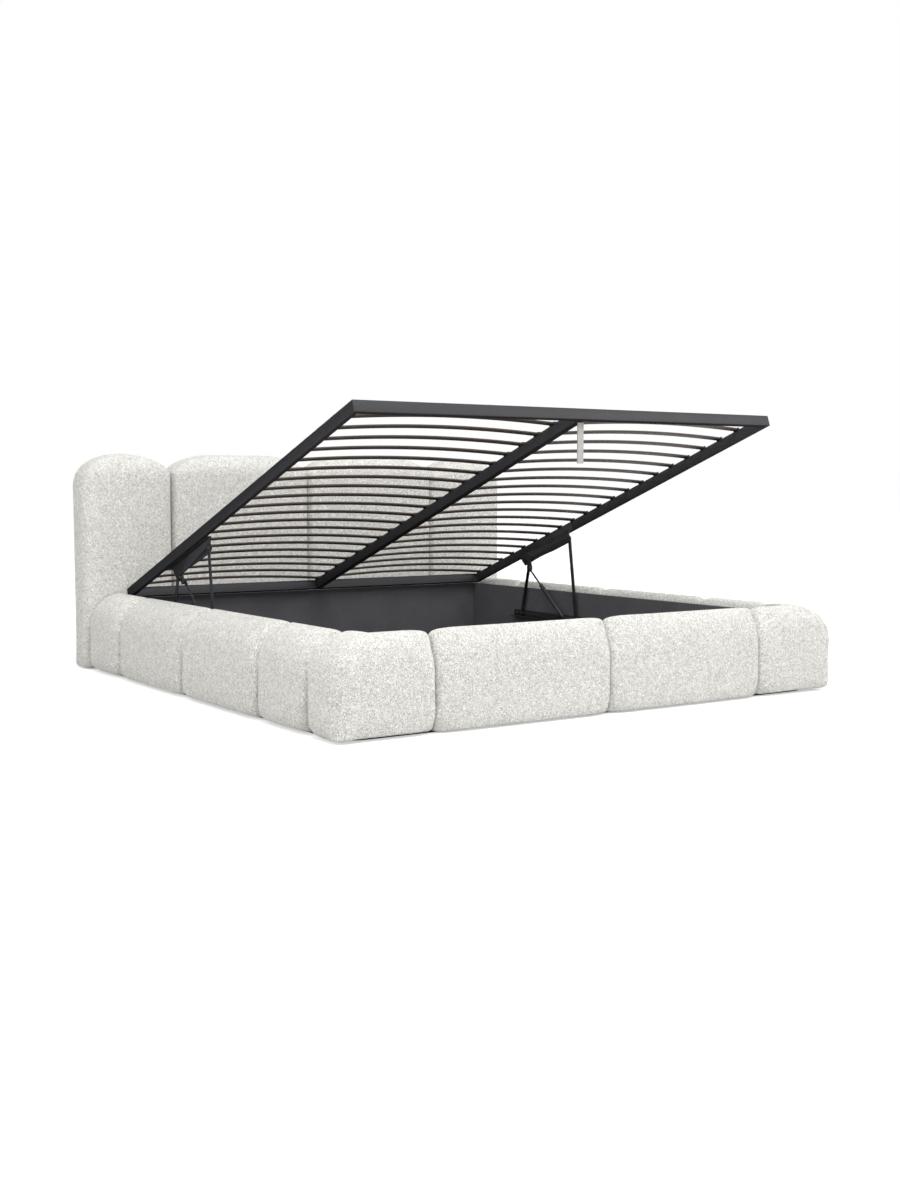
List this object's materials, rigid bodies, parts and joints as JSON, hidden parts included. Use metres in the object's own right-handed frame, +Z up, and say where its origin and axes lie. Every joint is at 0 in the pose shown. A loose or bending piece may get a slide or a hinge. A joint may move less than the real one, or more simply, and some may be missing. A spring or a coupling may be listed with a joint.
{
  "type": "storage bed",
  "caption": "Upholstered storage bed with a channelled headboard, padded rails and a slatted base that lifts from the foot on arms and gas struts.",
  "frame": {"origin": "on the floor under the middle of the bed, halfway from the foot rail's face to the headboard's back", "axes": "+Z up, +Y towards the headboard along the bed's length, +X to the right seen from the foot end"},
  "size_m": [2.106, 2.27, 1.0176],
  "materials": {
    "upholstery": "off-white looped boucle, matte",
    "lining": "dark grey lining cloth, matte",
    "black_steel": "black powder coat, satin",
    "slat": "dark brown laminated slat, satin",
    "strut_rod": "blackened steel rod, satin",
    "webbing": "light grey woven webbing"
  },
  "bodies": {
    "base": {"headboard_back_panel": "upholstery", "headboard_channel_1": "upholstery", "headboard_channel_2": "upholstery", "headboard_channel_3": "upholstery", "headboard_channel_4": "upholstery", "side_channel_left_1": "upholstery", "side_channel_left_2": "upholstery", "side_channel_left_3": "upholstery", "side_channel_left_4": "upholstery", "foot_corner_left": "upholstery", "foot_channel_left": "upholstery", "side_board_left": "lining", "base_bracket_left": "black_steel", "side_channel_right_1": "upholstery", "side_channel_right_2": "upholstery", "side_channel_right_3": "upholstery", "side_channel_right_4": "upholstery", "foot_corner_right": "upholstery", "foot_channel_right": "upholstery", "side_board_right": "lining", "base_bracket_right": "black_steel", "foot_board": "lining", "head_board": "lining", "storage_floor": "lining"},
    "lift_frame": {"frame_side_left": "black_steel", "lift_plate_left": "black_steel", "frame_side_right": "black_steel", "lift_plate_right": "black_steel", "frame_head": "black_steel", "frame_foot": "black_steel", "frame_centre_beam": "black_steel", "slat_row_01": "slat", "slat_row_02": "slat", "slat_row_03": "slat", "slat_row_04": "slat", "slat_row_05": "slat", "slat_row_06": "slat", "slat_row_07": "slat", "slat_row_08": "slat", "slat_row_09": "slat", "slat_row_10": "slat", "slat_row_11": "slat", "slat_row_12": "slat", "slat_row_13": "slat", "slat_row_14": "slat", "slat_row_15": "slat", "slat_row_16": "slat", "slat_row_17": "slat", "slat_row_18": "slat", "slat_row_19": "slat", "slat_row_20": "slat"},
    "pull_strap": {"pull_strap": "webbing"},
    "rear_arm_left": {"rear_arm_left": "black_steel"},
    "front_arm_left": {"front_arm_left": "black_steel"},
    "strut_cylinder_left": {"strut_cylinder_left": "black_steel"},
    "strut_rod_left": {"strut_rod_left": "strut_rod"},
    "rear_arm_right": {"rear_arm_right": "black_steel"},
    "front_arm_right": {"front_arm_right": "black_steel"},
    "strut_cylinder_right": {"strut_cylinder_right": "black_steel"},
    "strut_rod_right": {"strut_rod_right": "strut_rod"}
  },
  "joints": [
    {"name": "lift_hinge", "type": "hinge", "parent": "base", "child": "lift_frame", "pos_m": [0, 0.93917, 0.39992], "axis": [1, 0, 0], "range_deg": [0, 20], "stiffness_Nm_per_rad": 120, "springref_deg": -120.32},
    {"name": "rear_arm_hinge_left", "type": "hinge", "parent": "base", "child": "rear_arm_left", "pos_m": [-0.8538, 0.524, 0.1745], "axis": [1, 0, 0], "range_deg": [-0.5, 61.5]},
    {"name": "front_arm_hinge_left", "type": "hinge", "parent": "lift_frame", "child": "front_arm_left", "pos_m": [-0.8538, 0.17767, 0.53031], "axis": [1, 0, 0], "range_deg": [-89, 0.5]},
    {"name": "strut_hinge_left", "type": "hinge", "parent": "base", "child": "strut_cylinder_left", "pos_m": [-0.835, 0.185, 0.1745], "axis": [1, 0, 0], "range_deg": [-31.5, 0.5]},
    {"name": "strut_slide_left", "type": "slide", "parent": "strut_cylinder_left", "child": "strut_rod_left", "axis": [0, 0.7734, 0.6339], "range_m": [-0.0405, 0.0005]},
    {"name": "rear_arm_hinge_right", "type": "hinge", "parent": "base", "child": "rear_arm_right", "pos_m": [0.8538, 0.524, 0.1745], "axis": [1, 0, 0], "range_deg": [-0.5, 61.5]},
    {"name": "front_arm_hinge_right", "type": "hinge", "parent": "lift_frame", "child": "front_arm_right", "pos_m": [0.8538, 0.17767, 0.53031], "axis": [1, 0, 0], "range_deg": [-89, 0.5]},
    {"name": "strut_hinge_right", "type": "hinge", "parent": "base", "child": "strut_cylinder_right", "pos_m": [0.835, 0.185, 0.1745], "axis": [1, 0, 0], "range_deg": [-31.5, 0.5]},
    {"name": "strut_slide_right", "type": "slide", "parent": "strut_cylinder_right", "child": "strut_rod_right", "axis": [0, 0.7734, 0.6339], "range_m": [-0.0405, 0.0005]},
    {"name": "strap_swing", "type": "hinge", "parent": "lift_frame", "child": "pull_strap", "pos_m": [0.006, -0.94074, 0.96899], "axis": [1, 0, 0], "range_deg": [-20, 60]}
  ],
  "couplings": [
    {"joint": "rear_arm_hinge_left", "follows": "lift_hinge", "ratio": 3.0303},
    {"joint": "front_arm_hinge_left", "follows": "lift_hinge", "ratio": -4.3978},
    {"joint": "strut_hinge_left", "follows": "lift_hinge", "ratio": -1.5191},
    {"joint": "strut_slide_left", "follows": "lift_hinge", "m_per_rad": -0.11308},
    {"joint": "rear_arm_hinge_right", "follows": "lift_hinge", "ratio": 3.0303},
    {"joint": "front_arm_hinge_right", "follows": "lift_hinge", "ratio": -4.3978},
    {"joint": "strut_hinge_right", "follows": "lift_hinge", "ratio": -1.5191},
    {"joint": "strut_slide_right", "follows": "lift_hinge", "m_per_rad": -0.11308}
  ]
}
